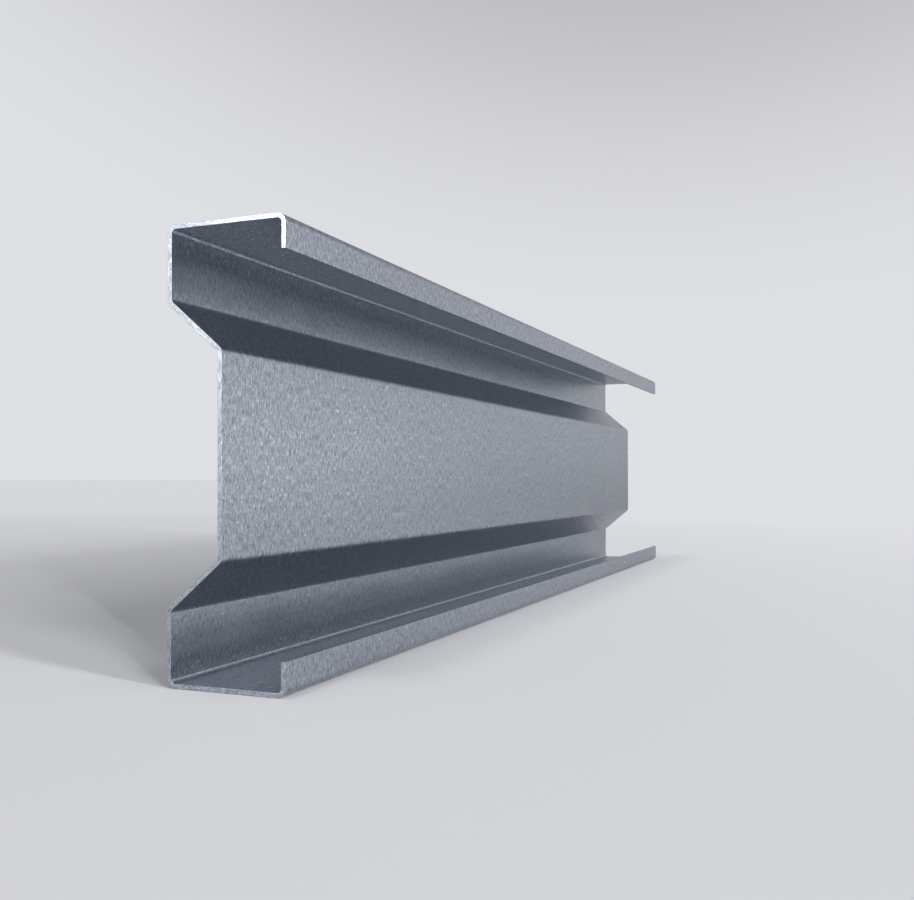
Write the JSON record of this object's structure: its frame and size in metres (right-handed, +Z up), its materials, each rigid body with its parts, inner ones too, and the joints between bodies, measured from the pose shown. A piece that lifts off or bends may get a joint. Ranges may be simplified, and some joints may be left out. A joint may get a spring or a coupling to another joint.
{
  "type": "sigma purlin",
  "caption": "Cold-rolled galvanised steel sigma purlin: a lipped channel with a stepped web, cut square, that spans between roof frames and carries roof sheeting.",
  "frame": {"origin": "centre of the bounding box's underside: on the lower flange's outer face, at mid-length, halfway between the lips' outer faces and the back of the web", "axes": "+X along the purlin's length, +Y from the lips towards the web, +Z up the section's depth, from the lower flange to the upper one"},
  "size_m": [0.935, 0.071, 0.24],
  "materials": {
    "galvanised_steel": "hot-dip galvanised strip, dull blue-grey with fine spangle"
  },
  "bodies": {
    "root": {"purlin": "galvanised_steel"}
  },
  "joints": []
}
